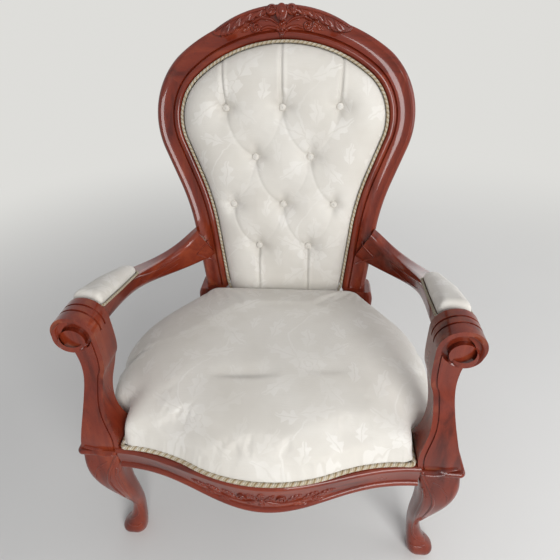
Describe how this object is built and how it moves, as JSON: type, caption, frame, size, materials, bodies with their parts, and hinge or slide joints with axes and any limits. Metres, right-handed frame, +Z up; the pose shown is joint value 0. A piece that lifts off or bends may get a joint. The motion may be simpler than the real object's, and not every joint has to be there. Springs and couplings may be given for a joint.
{
  "type": "armchair",
  "caption": "Show-wood armchair with a spoon-shaped buttoned back, carved crest, scrolled arm posts with padded arms, a domed seat on a serpentine rail and cabriole front legs.",
  "frame": {"origin": "on the floor, under the middle of the chair's overall width and depth", "axes": "+X to the right as seen from the front, +Y from the front to the back, +Z up; the chair faces -Y"},
  "size_m": [0.7062, 0.714, 1.0125],
  "materials": {
    "show_wood": "red-brown stain under gloss varnish",
    "frame_wood": "planed, unfinished",
    "cover": "ivory woven cover with a floral figure in its own colour",
    "cord": "twisted cream and gold cord",
    "webbing": "woven jute",
    "lining": "thin black lining cloth",
    "screws": "plain"
  },
  "bodies": {
    "root": {"crest_rail": "show_wood", "back_stile_left": "show_wood", "back_stile_right": "show_wood", "back_bottom_rail": "frame_wood", "rear_leg_left": "show_wood", "rear_leg_right": "show_wood", "front_leg_left": "show_wood", "front_leg_right": "show_wood", "arm_post_left": "show_wood", "arm_post_right": "show_wood", "arm_left": "show_wood", "arm_right": "show_wood", "front_rail": "show_wood", "side_rail_left": "show_wood", "side_rail_right": "show_wood", "back_rail": "show_wood", "front_corner_block_left": "frame_wood", "front_corner_block_right": "frame_wood", "rear_corner_block_left": "frame_wood", "rear_corner_block_right": "frame_wood", "back_dowels": "frame_wood", "arm_dowels": "frame_wood", "seat_frame_dowels": "frame_wood", "corner_block_screws": "screws", "seat_webbing": "webbing", "back_webbing": "webbing", "seat_pad": "cover", "back_pad": "cover", "back_buttons": "cover", "arm_pad_left": "cover", "arm_pad_right": "cover", "outside_back": "cover", "seat_piping": "cord", "back_piping": "cord", "arm_pad_piping_left": "cord", "arm_pad_piping_right": "cord", "dust_cover": "lining"}
  },
  "joints": []
}
